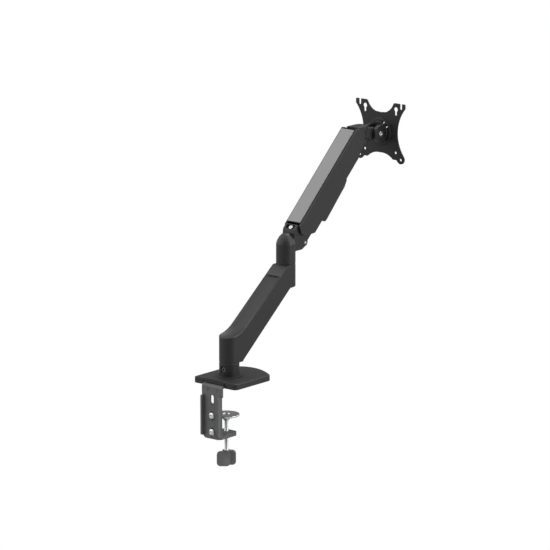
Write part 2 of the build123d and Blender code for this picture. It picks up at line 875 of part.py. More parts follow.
nose_reach = 4.5            # from the screw's axis to the nose's centre
nose_r = 5.0
with BuildPart() as adjuster_block:
    with BuildSketch(arm_plane):
        with Locations((adjuster_along - 0.75, slider_above)):
            Rectangle(10.5, 2 * nose_r)
        with Locations((adjuster_along + nose_reach, slider_above)):
            Circle(nose_r)
    extrude(amount=7.0, both=True)
    with BuildSketch(adjuster_plane):
        Circle(adjuster_r + running)
    extrude(amount=-70.0, mode=Mode.SUBTRACT)
finish(adjuster_block.part, "adjuster_block")


# ---------------------------------------------------------------- spring arm

arm_top_above = 22.0        # top edge of the sides, above the arm's axis
arm_low_above = -23.7       # their bottom edge
cover_from = -2.0           # the satin top cover's two ends, along the arm
cover_to = 221.0
web_to = 206.0              # the web stops short, clear of the head when the arm is low
web_t = 2.0


def side_outline(inset):
    """Side view of the spring arm, drawn in the arm's own plane."""
    with BuildSketch() as outline:
        with BuildLine():
            Polyline(
                (-9.2 + inset, arm_top_above - inset),
                (-16.0 + inset, 8.0),
                (-13.5 + inset, -0.2),
                (-7.3 + inset, -8.4),
                (10.8 + inset, arm_low_above + inset),
                (191.0 - inset, arm_low_above + inset),
                (225.1 - inset, -13.7 + inset),
                (236.9 - inset, -1.1),
                (231.0 - inset, 15.0 - inset),
                (226.0 - inset, arm_top_above - inset),
                close=True,
            )
        make_face()
        fillet(outline.vertices(), radius=2.4)
    return outline.sketch


def arm_slab(y):
    """The arm's own plane moved sideways, with its normal along -Y."""
    return arm_plane.offset(-y)


# Channel: two walls and the web under the top cover.
with BuildPart() as arm_channel:
    for low, high in ((wall_in, wall_out), (-wall_out, -wall_in)):
        with BuildSketch(arm_slab(high)):
            add(side_outline(0.6))
        extrude(amount=high - low)
    with BuildSketch(arm_plane):
        with Locations(((cover_from + web_to) / 2, arm_top_above - 0.6 - web_t / 2)):
            Rectangle(web_to - cover_from, web_t)
    extrude(amount=wall_in, both=True)
    with BuildSketch(arm_slab(wall_out + 1.0)):
        with Locations((0, 0), (link_len, 0)):
            Circle(pin_r)
        with Locations(spring_top):
            Circle(pin_r)
    extrude(amount=2 * wall_out + 2.0, mode=Mode.SUBTRACT)
finish(arm_channel.part, "arm_channel")

# Moulded side covers that hide the channel and its pins.
for name, low, high in (
    ("arm_side_left", wall_out, side_out),
    ("arm_side_right", -side_out, -wall_out),
):
    with BuildPart() as arm_side:
        with BuildSketch(arm_slab(high)):
            add(side_outline(0.0))
        extrude(amount=high - low)
        outer = arm_side.faces().sort_by(Axis.Y)[-1 if low > 0 else 0]
        chamfer(outer.outer_wire().edges(), length=0.6)
    finish(arm_side.part, name)

# Satin top cover: a flat strip with turned-down edges.
cover_t = 1.6
cover_half_w = 15.4
with BuildPart() as arm_top_cover:
    with BuildSketch(arm_plane):
        with Locations(((cover_from + cover_to) / 2, arm_top_above - 0.6 + cover_t)):
            Rectangle(cover_to - cover_from, 2 * cover_t)
    extrude(amount=cover_half_w, both=True)
    long_edges = arm_top_cover.faces().sort_by(Axis((0, 0, 0), (-along_z, 0, along_x)))[-1].edges()
    fillet(long_edges.filter_by(lambda e: e.length > 100.0), radius=0.8)
finish(arm_top_cover.part, "arm_top_cover")

# Cable cover clipped under the spring arm, a shallow open box.
with BuildPart() as arm_cable_cover:
    with BuildSketch(arm_plane):
        with BuildLine():
            Polyline(
                (39.6, arm_low_above + 4.0),
                (39.6, arm_low_above - 1.0),
                (47.0, arm_low_above - 13.0),
                (52.0, arm_low_above - 14.3),
                (129.0, arm_low_above - 11.3),
                (141.6, arm_low_above - 7.6),
                (148.7, arm_low_above - 0.6),
                (148.7, arm_low_above + 4.0),
                close=True,
            )
        make_face()
    extrude(amount=wall_in - gap / 2, both=True)
    with BuildSketch(arm_plane):
        with BuildLine():
            Polyline(
                (41.2, arm_low_above + 6.0),
                (41.2, arm_low_above - 1.0),
                (48.6, arm_low_above - 11.4),
                (52.4, arm_low_above - 12.6),
                (128.4, arm_low_above - 9.6),
                (140.4, arm_low_above - 6.4),
                (147.1, arm_low_above - 0.4),
                (147.1, arm_low_above + 6.0),
                close=True,
            )
        make_face()
    extrude(amount=wall_in - gap / 2 - 1.8, both=True, mode=Mode.SUBTRACT)
    # the lower link swings down through the cover's two ends
    with BuildSketch(arm_plane):
        with Locations((94.0, arm_low_above)):
            Rectangle(112.0, 16.6)
    extrude(amount=link_out + 1.0, both=True, mode=Mode.SUBTRACT)
finish(arm_cable_cover.part, "arm_cable_cover")

# Pivot pins A and B: headed stubs, one through each wall of the channel.
for name, along in (("elbow_pivot_pins", 0.0), ("head_pivot_pins", link_len)):
    with BuildPart() as pins:
        for side in (-1, 1):
            with BuildSketch(arm_slab(max(side * wall_out, side * cheek_in))):
                with Locations((along, 0)):
                    Circle(pin_r)
            extrude(amount=wall_out - cheek_in)
    finish(pins.part, name)

with BuildPart() as spring_pin:
    with BuildSketch(arm_slab(wall_out)):
        with Locations(spring_top):
            Circle(pin_r)
    extrude(amount=2 * wall_out)
finish(spring_pin.part, "spring_pin")

# Gas spring: a cylinder with an eye on the fixed pin, and a rod that ends in a flat
# shoe against the adjuster's nose.
nose_along = adjuster_along + nose_reach + nose_r
shoe_t = 2.4
shoe_gap = 0.8
spring_axis_above = slider_above
spring_dx = spring_top[0] - (nose_along + shoe_gap)
spring_dz = spring_top[1] - spring_axis_above
spring_len = (spring_dx**2 + spring_dz**2) ** 0.5
shoe_at = on_arm(nose_along + shoe_gap, spring_axis_above)
eye_at = on_arm(*spring_top)
spring_dir = ((eye_at[0] - shoe_at[0]) / spring_len, (eye_at[1] - shoe_at[1]) / spring_len)
spring_plane = Plane(
    origin=(shoe_at[0], 0, shoe_at[1]),
    x_dir=(0, 1, 0),
    z_dir=(spring_dir[0], 0, spring_dir[1]),
)
cylinder_from = 48.0
cylinder_to = spring_len - 14.0
rod_clearance = 25.0        # how far the rod's inner end stays short of the cylinder's
with BuildPart() as gas_cylinder:
    with BuildSketch(spring_plane.offset(cylinder_from)):
        Circle(cylinder_r)
        Circle(spring_rod_r + running, mode=Mode.SUBTRACT)
    extrude(amount=cylinder_to - cylinder_from - 4.0)
    with BuildSketch(spring_plane.offset(cylinder_to - 4.0)):
        Circle(cylinder_r)
    extrude(amount=4.0)
    chamfer(gas_cylinder.edges().filter_by(GeomType.CIRCLE).filter_by(
        lambda e: abs(e.radius - cylinder_r) < 0.01), length=1.0)
    with BuildSketch(spring_plane.offset(cylinder_to)):
        Circle(5.0)
    extrude(amount=9.0)
    with BuildSketch(side_plane(6.0)):
        with Locations(eye_at):
            Circle(8.0)
    extrude(amount=12.0)
    with BuildSketch(side_plane(8.0)):
        with Locations(eye_at):
            Circle(pin_r + running)
    extrude(amount=16.0, mode=Mode.SUBTRACT)
finish(gas_cylinder.part, "gas_cylinder")

with BuildPart() as gas_rod:
    with BuildSketch(spring_plane.offset(shoe_t)):
        Circle(spring_rod_r)
    extrude(amount=cylinder_to - rod_clearance)
finish(gas_rod.part, "gas_rod")

with BuildPart() as rod_shoe:
    with BuildSketch(spring_plane):
        RectangleRounded(13.0, 7.0, 1.5)
    extrude(amount=shoe_t)
finish(rod_shoe.part, "rod_shoe")


# ---------------------------------------------------------------- lower link

c_along, c_above = arm_coordinates(pivot_c)
link_half_h = 5.6
with BuildPart() as lower_link:
    for low, high in ((link_in, link_out), (-link_out, -link_in)):
        with BuildSketch(arm_slab(high)):
            with Locations((c_along + link_len / 2, c_above)):
                SlotCenterToCenter(link_len, 2 * link_half_h)
            with Locations((c_along, c_above), (c_along + link_len, c_above)):
                Circle(link_pin_r + running, mode=Mode.SUBTRACT)
        extrude(amount=high - low)
    with BuildSketch(arm_plane):
        with Locations((c_along + link_len / 2, c_above - link_half_h + 1.0)):
            Rectangle(link_len - 52.0, 2.0)
    extrude(amount=link_in, both=True)
finish(lower_link.part, "lower_link")

# Pins C and D, short so that the middle of the fork stays clear.
for name, spot in (("link_pins_elbow", pivot_c), ("link_pins_head", pivot_d)):
    with BuildPart() as pins:
        for side in (-1, 1):
            with BuildSketch(side_plane(max(side * cheek_out, side * link_in))):
                with Locations(spot):
                    Circle(link_pin_r)
            extrude(amount=cheek_out - link_in)
    finish(pins.part, name)


# ---------------------------------------------------------------- head

head_rear_x = 377.0
fork_gap = 0.15


# Head bracket: a fork on pivots B and D, and two ears for the upright swivel pin.
with BuildPart() as head_bracket:
    for low, high in ((cheek_in, cheek_out), (-cheek_out, -cheek_in)):
        with BuildSketch(side_plane(high)):
            with BuildLine():
                Polyline(
                    (pivot_b[0] - 9.0, pivot_b[1]),
                    (pivot_b[0] - 6.0, pivot_b[1] + 12.0),
                    (pivot_b[0] - 2.0, ear_top_z),
                    (head_rear_x + 4.0, ear_top_z),
                    (head_rear_x + 4.0, lower_ear_z),
                    (pivot_d[0] + 6.6, pivot_d[1]),
                    (pivot_d[0] + 1.0, pivot_d[1] - 6.5),
                    (pivot_d[0] - 6.6, pivot_d[1]),
                    close=True,
                )
            make_face()
            with Locations(pivot_b):
                Circle(9.0)
            with Locations(pivot_d):
                Circle(6.6)
        extrude(amount=high - low)
    with BuildSketch(Plane.XZ):
        with Locations(((head_rear_x - 3.0 + swivel_x) / 2, (lower_ear_z + ear_top_z) / 2)):
            Rectangle(swivel_x - head_rear_x + 3.0, ear_top_z - lower_ear_z)
        with Locations(((pivot_b[0] + swivel_x) / 2, ear_top_z - 2.5)):
            Rectangle(swivel_x - pivot_b[0], 5.0)
    extrude(amount=cheek_out, both=True)
    with BuildSketch(Plane.XY.offset(lower_ear_z)):
        with Locations((swivel_x, 0)):
            Circle(ear_r)
    extrude(amount=ear_top_z - lower_ear_z)
    # slot for the knuckle
    with BuildSketch(Plane.XZ):
        with Locations((head_rear_x + 15.0, (knuckle_low_z + knuckle_top_z) / 2)):
            Rectangle(30.0, knuckle_top_z - knuckle_low_z + 2 * fork_gap)
    extrude(amount=cheek_out + 1.0, both=True, mode=Mode.SUBTRACT)
    with BuildSketch(side_plane(cheek_out + 1.0)):
        with Locations(pivot_b):
            Circle(pin_r + running)
        with Locations(pivot_d):
            Circle(link_pin_r)
    extrude(amount=2 * cheek_out + 2.0, mode=Mode.SUBTRACT)
    with BuildSketch(Plane.XY.offset(lower_ear_z - 1.0)):
        with Locations((swivel_x, 0)):
            Circle(5.0)
    extrude(amount=ear_top_z - lower_ear_z + 2.0, mode=Mode.SUBTRACT)
    fillet(head_bracket.faces().sort_by(Axis.Z)[-1].edges().filter_by(
        lambda e: e.center().X > swivel_x and e.length > 20.0), radius=1.0)
finish(head_bracket.part, "head_bracket")

# Swivel pin, pressed in the two ears, with a low domed head on top.
with BuildPart() as swivel_pin:
    with BuildSketch(Plane.XY.offset(lower_ear_z - 1.5)):
        with Locations((swivel_x, 0)):
            Circle(5.0)
    extrude(amount=ear_top_z - lower_ear_z + 1.5)
    with BuildSketch(Plane.XY.offset(ear_top_z)):
        with Locations((swivel_x, 0)):
            Circle(7.5)
    extrude(amount=1.6)
    chamfer(swivel_pin.faces().sort_by(Axis.Z)[-1].edges(), length=0.8)
finish(swivel_pin.part, "swivel_pin")

# Knuckle: turns between the ears and carries the tilt barrel.
barrel_r = 10.5
barrel_half = 8.7
with BuildPart() as swivel_knuckle:
    with BuildSketch(Plane.XY.offset(knuckle_low_z)):
        with Locations((swivel_x, 0)):
            Circle(10.6)
        with Locations((swivel_x + 10.0, 0)):
            Rectangle(20.0, 2 * barrel_half)
    extrude(amount=knuckle_top_z - knuckle_low_z)
    with BuildSketch(Plane.XZ):
        with BuildLine():
            Polyline(
                (swivel_x + ear_r + 1.0, 400.0),
                (swivel_x + ear_r + 1.0, 423.8),
                (tilt_x - 8.0, 422.6),
                (tilt_x, head_z + barrel_r),
                (tilt_x, head_z - barrel_r),
                close=True,
            )
        make_face()
        with Locations((tilt_x, head_z)):
            Circle(barrel_r)
    extrude(amount=barrel_half, both=True)
    with BuildSketch(Plane.XY.offset(knuckle_low_z - 1.0)):
        with Locations((swivel_x, 0)):
            Circle(5.0 + running)
    extrude(amount=knuckle_top_z - knuckle_low_z + 2.0, mode=Mode.SUBTRACT)
    with BuildSketch(side_plane(barrel_half + 1.0)):
        with Locations((tilt_x, head_z)):
            Circle(4.0 + running)
    extrude(amount=2 * barrel_half + 2.0, mode=Mode.SUBTRACT)
finish(swivel_knuckle.part, "swivel_knuckle")

# Tilt hub: two round cheeks on the barrel's ends, joined by the disc that the
# screen plate turns on.
hub_cheek_in = 9.2
hub_cheek_out = 16.2
hub_disc_r = 21.0
hub_disc_t = 4.0
with BuildPart() as tilt_hub:
    for low, high in ((hub_cheek_in, hub_cheek_out), (-hub_cheek_out, -hub_cheek_in)):
        with BuildSketch(side_plane(high)):
            with Locations((tilt_x, head_z)):
                Circle(tilt_r)
            with Locations(((tilt_x + hub_face_x) / 2, head_z)):
                Rectangle(hub_face_x - tilt_x, 2 * tilt_r)
            with Locations((hub_face_x + 10.0, head_z)):
                Rectangle(20.0, 60.0, mode=Mode.SUBTRACT)
        extrude(amount=high - low)
    with BuildSketch(Plane.YZ.offset(hub_face_x - hub_disc_t)):
        with Locations((0, head_z)):
            Circle(hub_disc_r)
    extrude(amount=hub_disc_t)
    with BuildSketch(side_plane(hub_cheek_out + 1.0)):
        with Locations((tilt_x, head_z)):
            Circle(4.0)
    extrude(amount=2 * hub_cheek_out + 2.0, mode=Mode.SUBTRACT)
    with BuildSketch(Plane.YZ.offset(hub_face_x - hub_disc_t - 1.0)):
        with Locations((0, head_z)):
            Circle(4.0)
    extrude(amount=hub_disc_t + 2.0, mode=Mode.SUBTRACT)
finish(tilt_hub.part, "tilt_hub")

# Tilt bolt through the barrel, with a low head at each side.
with BuildPart() as tilt_bolt:
    with BuildSketch(side_plane(hub_cheek_out)):
        with Locations((tilt_x, head_z)):
            Circle(4.0)
    extrude(amount=2 * hub_cheek_out)
    for side in (-1, 1):
        with BuildSketch(side_plane(max(side * hub_cheek_out, side * (hub_cheek_out + 1.6)))):
            with Locations((tilt_x, head_z)):
                Circle(5.2)
        extrude(amount=1.6)
    chamfer(tilt_bolt.faces().sort_by(Axis.Y)[0].edges(), length=0.5)
    chamfer(tilt_bolt.faces().sort_by(Axis.Y)[-1].edges(), length=0.5)
    with BuildSketch(side_plane(-hub_cheek_out)):
        with Locations((tilt_x, head_z)):
            RegularPolygon(2.5, 6, major_radius=False)
    extrude(amount=2.0, mode=Mode.SUBTRACT)
finish(tilt_bolt.part, "tilt_bolt")

# Friction washer between the hub and the screen plate.
dish_back_x = plate_back_x - dish_depth
with BuildPart() as friction_washer:
    with BuildSketch(Plane.YZ.offset(hub_face_x)):
        with Locations((0, head_z)):
            Circle(19.0)
            Circle(4.0 + running, mode=Mode.SUBTRACT)
    extrude(amount=dish_back_x - hub_face_x)
finish(friction_washer.part, "friction_washer")

# Bolt that the screen plate turns on.
with BuildPart() as rotation_bolt:
    with BuildSketch(Plane.YZ.offset(hub_face_x - hub_disc_t)):
        with Locations((0, head_z)):
            Circle(4.0)
    extrude(amount=dish_back_x + screen_plate_t - hub_face_x + hub_disc_t + 0.2)
    with BuildSketch(Plane.YZ.offset(dish_back_x + screen_plate_t + 0.1)):
        with Locations((0, head_z)):
            Circle(8.5)
            RegularPolygon(2.5, 6, major_radius=False, mode=Mode.SUBTRACT)
    extrude(amount=2.4)
finish(rotation_bolt.part, "rotation_bolt")


# ---------------------------------------------------------------- screen plate

# Screen plate: an X of four arms.  The upper arms hang on keyholes (75 mm) and open
# slots (100 mm); the lower ones have round holes for both patterns.
tip_y = 60.0
top_z = 59.0
with BuildPart() as screen_plate:
    with BuildSketch(Plane.YZ.offset(plate_back_x)) as plate_face:
        with Locations((0, head_z)):
            Circle(dish_r + 6.0)
        for side in (-1, 1):
            with BuildLine():
                Polyline(
                    (0, head_z + 37.8),
                    (side * 12.0, head_z + 38.9),
                )
                ThreePointArc(
                    (side * 12.0, head_z + 38.9),
                    (side * 24.5, head_z + 46.5),
                    (side * 31.5, head_z + top_z - 2.0),
                )
                Polyline(
                    (side * 31.5, head_z + top_z - 2.0),
                    (side * 33.5, head_z + top_z),
                    (side * (tip_y - 1.0), head_z + top_z),
                    (side * tip_y, head_z + top_z - 1.5),
                    (side * tip_y, head_z + 50.0),
                )
                ThreePointArc(
                    (side * tip_y, head_z + 50.0),
                    (side * 41.6, head_z + 4.0),
                    (side * 57.5, head_z - 44.0),
                )
                ThreePointArc(
                    (side * 57.5, head_z - 44.0),
                    (side * 56.0, head_z - 56.0),
                    (side * 44.0, head_z - 56.5),
                )
                Polyline(
                    (side * 44.0, head_z - 56.5),
                    (side * 39.5, head_z - 51.6),
                    (side * 31.0, head_z - 51.6),
                )
                ThreePointArc(
                    (side * 31.0, head_z - 51.6),
                    (side * 18.0, head_z - 43.4),
                    (0, head_z - 41.0),
                )
                Line((0, head_z - 41.0), (0, head_z + 37.8))
            make_face()
        for side in (-1, 1):
            # open slot, and keyhole: a round entry with a narrow slot below it
            with Locations((side * vesa_large, head_z + vesa_large)):
                Circle(vesa_hole_r, mode=Mode.SUBTRACT)
            with Locations((side * vesa_large, head_z + vesa_large + 10.0)):
                Rectangle(2 * vesa_hole_r, 20.0, mode=Mode.SUBTRACT)
            with Locations((side * vesa_small, head_z + vesa_small)):
                Circle(vesa_hole_r, mode=Mode.SUBTRACT)
            with Locations((side * vesa_small, head_z + vesa_small + 4.5)):
                Rectangle(2 * vesa_hole_r, 9.0, mode=Mode.SUBTRACT)
            with Locations((side * vesa_small, head_z + vesa_small + 9.5)):
                Circle(4.6, mode=Mode.SUBTRACT)
            for reach in (vesa_small, vesa_large):
                with Locations((side * reach, head_z - reach)):
                    Circle(vesa_hole_r, mode=Mode.SUBTRACT)
    extrude(amount=screen_plate_t)
    # the middle is pressed back into a round dish for the bolt's head
    with BuildSketch(Plane.YZ.offset(dish_back_x)):
        with Locations((0, head_z)):
            Circle(dish_r)
    extrude(amount=dish_depth)
    with BuildSketch(Plane.YZ.offset(dish_back_x + screen_plate_t)):
        with Locations((0, head_z)):
            Circle(dish_r - 2.5)
    extrude(amount=dish_depth + 1.0, mode=Mode.SUBTRACT)
    chamfer(screen_plate.faces().sort_by(Axis.X)[0].outer_wire().edges(), length=1.0)
    with BuildSketch(Plane.YZ.offset(dish_back_x - 1.0)):
        with Locations((0, head_z)):
            Circle(4.0 + running)
        # two short slots where the plate is staked
        with Locations((-10.5, head_z + 18.5), (-17.6, head_z + 11.0)):
            SlotOverall(5.0, 2.4, rotation=135)
    extrude(amount=screen_plate_t + 2.0, mode=Mode.SUBTRACT)
finish(screen_plate.part, "screen_plate")
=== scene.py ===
# %% [markdown]
# # A gas-spring monitor arm
# A finished CAD assembly comes in as a frame: a desk clamp, a cast lower arm, a
# gas-spring upper arm, and a head with a screen plate.  Nothing in this lesson
# moves a CAD piece.  It gives each piece its finish, it breaks the hard edges of
# the castings and mouldings, and it makes the screws and the thread that the CAD
# leaves plain.

# %% Load the frame
import json
import math

import bmesh
import bpy
from mathutils import Matrix, Vector

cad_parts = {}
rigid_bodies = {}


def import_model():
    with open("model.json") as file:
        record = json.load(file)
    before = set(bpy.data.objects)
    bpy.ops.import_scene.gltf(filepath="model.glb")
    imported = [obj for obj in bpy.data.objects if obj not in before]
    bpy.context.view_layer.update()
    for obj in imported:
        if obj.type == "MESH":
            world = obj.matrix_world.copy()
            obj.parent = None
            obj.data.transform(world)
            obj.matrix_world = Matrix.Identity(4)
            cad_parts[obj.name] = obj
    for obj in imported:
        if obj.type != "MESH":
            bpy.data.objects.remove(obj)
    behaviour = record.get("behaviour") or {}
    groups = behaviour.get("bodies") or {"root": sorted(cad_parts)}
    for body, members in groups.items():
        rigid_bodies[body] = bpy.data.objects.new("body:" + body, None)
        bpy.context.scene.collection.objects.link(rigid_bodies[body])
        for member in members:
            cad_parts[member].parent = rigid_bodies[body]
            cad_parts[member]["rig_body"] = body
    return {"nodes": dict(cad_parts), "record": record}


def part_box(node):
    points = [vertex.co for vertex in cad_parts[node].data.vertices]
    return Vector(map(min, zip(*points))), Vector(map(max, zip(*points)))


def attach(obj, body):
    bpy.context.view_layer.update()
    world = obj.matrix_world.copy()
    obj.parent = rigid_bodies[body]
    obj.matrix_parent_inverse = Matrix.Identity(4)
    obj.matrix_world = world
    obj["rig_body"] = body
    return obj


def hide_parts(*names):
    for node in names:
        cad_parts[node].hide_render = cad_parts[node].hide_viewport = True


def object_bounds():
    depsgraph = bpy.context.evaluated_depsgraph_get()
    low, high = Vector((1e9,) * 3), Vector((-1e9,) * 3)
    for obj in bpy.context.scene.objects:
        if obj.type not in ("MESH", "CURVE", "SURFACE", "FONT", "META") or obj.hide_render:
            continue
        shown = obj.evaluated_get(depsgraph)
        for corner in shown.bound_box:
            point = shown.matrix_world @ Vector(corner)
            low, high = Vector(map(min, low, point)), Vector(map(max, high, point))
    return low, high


MM = 0.001

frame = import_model()
cad_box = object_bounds()
nodes = frame["nodes"]
scene = bpy.context.scene
body_of = {name: node["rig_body"] for name, node in nodes.items()}
slot_of = {row["node"]: row["material_slot"] for row in frame["record"]["subparts"]}

# %% [markdown]
# ## Camera
# A long thin thing looks true when it is seen from far away with a long lens,
# because its upright lines stay upright.  The camera stands behind the desk's
# edge, to one side, and looks down a little.

# %% Place the camera
VIEW_TURN = math.radians(-50.3)
VIEW_RISE = math.radians(12.75)
LENS = 274.9
SENSOR = 36.0
STAND_OFF = 7.821
AIM = Vector((0.0, 0.0, 0.012))
AIM_LEFT = 0.0851
AIM_BELOW = 0.1886

back = Vector((
    math.sin(VIEW_TURN) * math.cos(VIEW_RISE),
    -math.cos(VIEW_TURN) * math.cos(VIEW_RISE),
    math.sin(VIEW_RISE),
))
right = Vector((math.cos(VIEW_TURN), math.sin(VIEW_TURN), 0.0))
up = back.cross(right)


def place_camera():
    """The camera, turned so that its picture's centre is right of and above AIM."""
    data = bpy.data.cameras.new("camera")
    data.lens = LENS
    data.sensor_width = SENSOR
    data.clip_end = 60.0
    camera = bpy.data.objects.new("camera", data)
    spot = AIM + STAND_OFF * back + AIM_LEFT * right + AIM_BELOW * up
    turn = Matrix((right, up, back)).transposed().to_4x4()
    camera.matrix_world = Matrix.Translation(spot) @ turn
    scene.collection.objects.link(camera)
    scene.camera = camera
    return camera


camera = place_camera()
scene.view_settings.view_transform = "Standard"
print("the camera stands", round(camera.matrix_world.translation.length, 2), "m away")

# %% [markdown]
# ## Studio
# Black satin and bright zinc show only what they reflect.  The room is white
# behind the arm.  What the arm itself sees is darker in front and behind, and
# bright at both sides and overhead, so round parts get a band of light down each
# side and flat tops catch the ceiling.

# %% Build the room
FLOOR_DROP = 0.55
FLOOR_REACH = 14.0
ROOM_DARK = 0.16
SIDE_GLOW = 1.15
SIDE_SPREAD = (0.30, 0.95)
CEILING_GLOW = 0.8
CEILING_SPREAD = (0.35, 0.95)
FLOOR_TONE = 0.35


def ramp(tree, source, low, high, height):
    """A smooth step that climbs from 0 at low to height at high."""
    step = tree.nodes.new("ShaderNodeMapRange")
    step.interpolation_type = "SMOOTHSTEP"
    step.inputs["From Min"].default_value = low
    step.inputs["From Max"].default_value = high
    step.inputs["To Max"].default_value = height
    tree.links.new(source, step.inputs["Value"])
    return step.outputs["Result"]


def maths(tree, operation, *values):
    """One arithmetic node; each value may be a socket or a number."""
    node = tree.nodes.new("ShaderNodeMath")
    node.operation = operation
    for socket, value in zip(node.inputs, values):
        if isinstance(value, (int, float)):
            socket.default_value = value
        else:
            tree.links.new(value, socket)
    return node.outputs[0]


def white_to_camera(tree, lit, seen):
    """What the room looks like to the camera, and what lights the arm."""
    path = tree.nodes.new("ShaderNodeLightPath")
    choose = tree.nodes.new("ShaderNodeMixShader")
    tree.links.new(path.outputs["Is Camera Ray"], choose.inputs[0])
    tree.links.new(lit, choose.inputs[1])
    tree.links.new(seen, choose.inputs[2])
    return choose.outputs[0]


def build_room():
    """The world: white to the camera, shaped glow to everything else."""
    world = bpy.data.worlds.new("studio")
    world.use_nodes = True
    tree = world.node_tree
    tree.nodes.clear()
    coords = tree.nodes.new("ShaderNodeTexCoord")
    sideways = tree.nodes.new("ShaderNodeVectorMath")
    sideways.operation = "DOT_PRODUCT"
    sideways.inputs[1].default_value = right
    split = tree.nodes.new("ShaderNodeSeparateXYZ")
    tree.links.new(coords.outputs["Generated"], sideways.inputs[0])
    tree.links.new(coords.outputs["Generated"], split.inputs[0])
    side = maths(tree, "ABSOLUTE", sideways.outputs["Value"])
    glow = maths(
        tree, "ADD",
        ramp(tree, side, *SIDE_SPREAD, SIDE_GLOW),
        ramp(tree, split.outputs["Z"], *CEILING_SPREAD, CEILING_GLOW),
    )
    lit = tree.nodes.new("ShaderNodeBackground")
    lit.inputs["Color"].default_value = (1, 1, 1, 1)
    tree.links.new(maths(tree, "ADD", glow, ROOM_DARK), lit.inputs["Strength"])
    seen = tree.nodes.new("ShaderNodeBackground")
    seen.inputs["Color"].default_value = (1, 1, 1, 1)
    out = tree.nodes.new("ShaderNodeOutputWorld")
    tree.links.new(white_to_camera(tree, lit.outputs[0], seen.outputs[0]), out.inputs[0])
    scene.world = world


def lay_floor():
    """A pale floor well below the clamp."""
    level = cad_box[0][2] - FLOOR_DROP
    corners = [
        (x * FLOOR_REACH, y * FLOOR_REACH, level)
        for x, y in ((-1, -1), (1, -1), (1, 1), (-1, 1))
    ]
    mesh = bpy.data.meshes.new("floor")
    mesh.from_pydata(corners, [], [(0, 1, 2, 3)])
    floor = bpy.data.objects.new("floor", mesh)
    scene.collection.objects.link(floor)
    paint = bpy.data.materials.new("floor")
    paint.use_nodes = True
    tree = paint.node_tree
    tree.nodes.clear()
    matt = tree.nodes.new("ShaderNodeBsdfDiffuse")
    matt.inputs["Color"].default_value = (FLOOR_TONE, FLOOR_TONE, FLOOR_TONE, 1)
    pale = tree.nodes.new("ShaderNodeEmission")
    pale.inputs["Color"].default_value = (1, 1, 1, 1)
    out = tree.nodes.new("ShaderNodeOutputMaterial")
    tree.links.new(white_to_camera(tree, matt.outputs[0], pale.outputs[0]), out.inputs[0])
    mesh.materials.append(paint)
    return level


def hang_panel(name, spot, aim, width, height, power):
    """A soft light panel that faces a point."""
    data = bpy.data.lights.new(name, "AREA")
    data.shape = "RECTANGLE"
    data.size = width
    data.size_y = height
    data.energy = power
    panel = bpy.data.objects.new(name, data)
    panel.rotation_euler = (spot - aim).to_track_quat("Z", "Y").to_euler()
    panel.location = spot
    scene.collection.objects.link(panel)


build_room()
floor_level = lay_floor()
middle = Vector((0.2, 0.0, 0.2))
hang_panel("over_panel", middle + 2.4 * up + 0.6 * right - 0.6 * back, middle, 1.6, 1.6, 30)
hang_panel("side_panel", middle + 2.2 * right + 1.2 * back + 0.4 * up, middle, 0.7, 2.4, 12)
print("the floor lies at", round(floor_level, 3), "m")

# %% [markdown]
# ## Finishes
# Every finish is built from the same few layers: a broad, faint mottle of tone
# and gloss, a fine grain that only bumps the surface, and a painted highlight, a
# lighter line along sharp edges where they would catch the light.  All of them read
# object coordinates in metres, so the grain has the same size on every piece.

# %% Layers that finishes share
MOTTLE_SCALE = 14.0
MOTTLE_DETAIL = 4.0
# Pointiness range over which sharp edges get a painted highlight.
HIGHLIGHT_FROM = 0.53
HIGHLIGHT_TO = 0.62


def new_finish(name):
    """An empty finish: the material, its node tree and its shader."""
    paint = bpy.data.materials.new(name)
    paint.use_nodes = True
    return paint, paint.node_tree, paint.node_tree.nodes["Principled BSDF"]


def noise(tree, scale, detail, stretch=None, tilt=0.0):
    """Noise on object coordinates, stretched and tilted if asked."""
    coords = tree.nodes.new("ShaderNodeTexCoord")
    cloud = tree.nodes.new("ShaderNodeTexNoise")
    cloud.inputs["Scale"].default_value = scale
    cloud.inputs["Detail"].default_value = detail
    vector = coords.outputs["Object"]
    if stretch:
        mapping = tree.nodes.new("ShaderNodeMapping")
        mapping.vector_type = "TEXTURE"
        mapping.inputs["Rotation"].default_value = (0, tilt, 0)
        mapping.inputs["Scale"].default_value = stretch
        tree.links.new(vector, mapping.inputs["Vector"])
        vector = mapping.outputs["Vector"]
    tree.links.new(vector, cloud.inputs["Vector"])
    return cloud.outputs["Fac"]


def spread(tree, source, low, high):
    """The source's 0 to 1 spread over low to high."""
    span = tree.nodes.new("ShaderNodeMapRange")
    span.inputs["To Min"].default_value = low
    span.inputs["To Max"].default_value = high
    tree.links.new(source, span.inputs["Value"])
    return span.outputs["Result"]


def blend_colours(tree, factor, first, second, kind="MIX"):
    """A colour mix; each colour may be a socket or three numbers."""
    mix = tree.nodes.new("ShaderNodeMix")
    mix.data_type = "RGBA"
    mix.blend_type = kind
    if isinstance(factor, (int, float)):
        mix.inputs["Factor"].default_value = factor
    else:
        tree.links.new(factor, mix.inputs["Factor"])
    for socket, colour in ((mix.inputs["A"], first), (mix.inputs["B"], second)):
        if isinstance(colour, tuple):
            socket.default_value = (*colour, 1)
        else:
            tree.links.new(colour, socket)
    return mix.outputs["Result"]


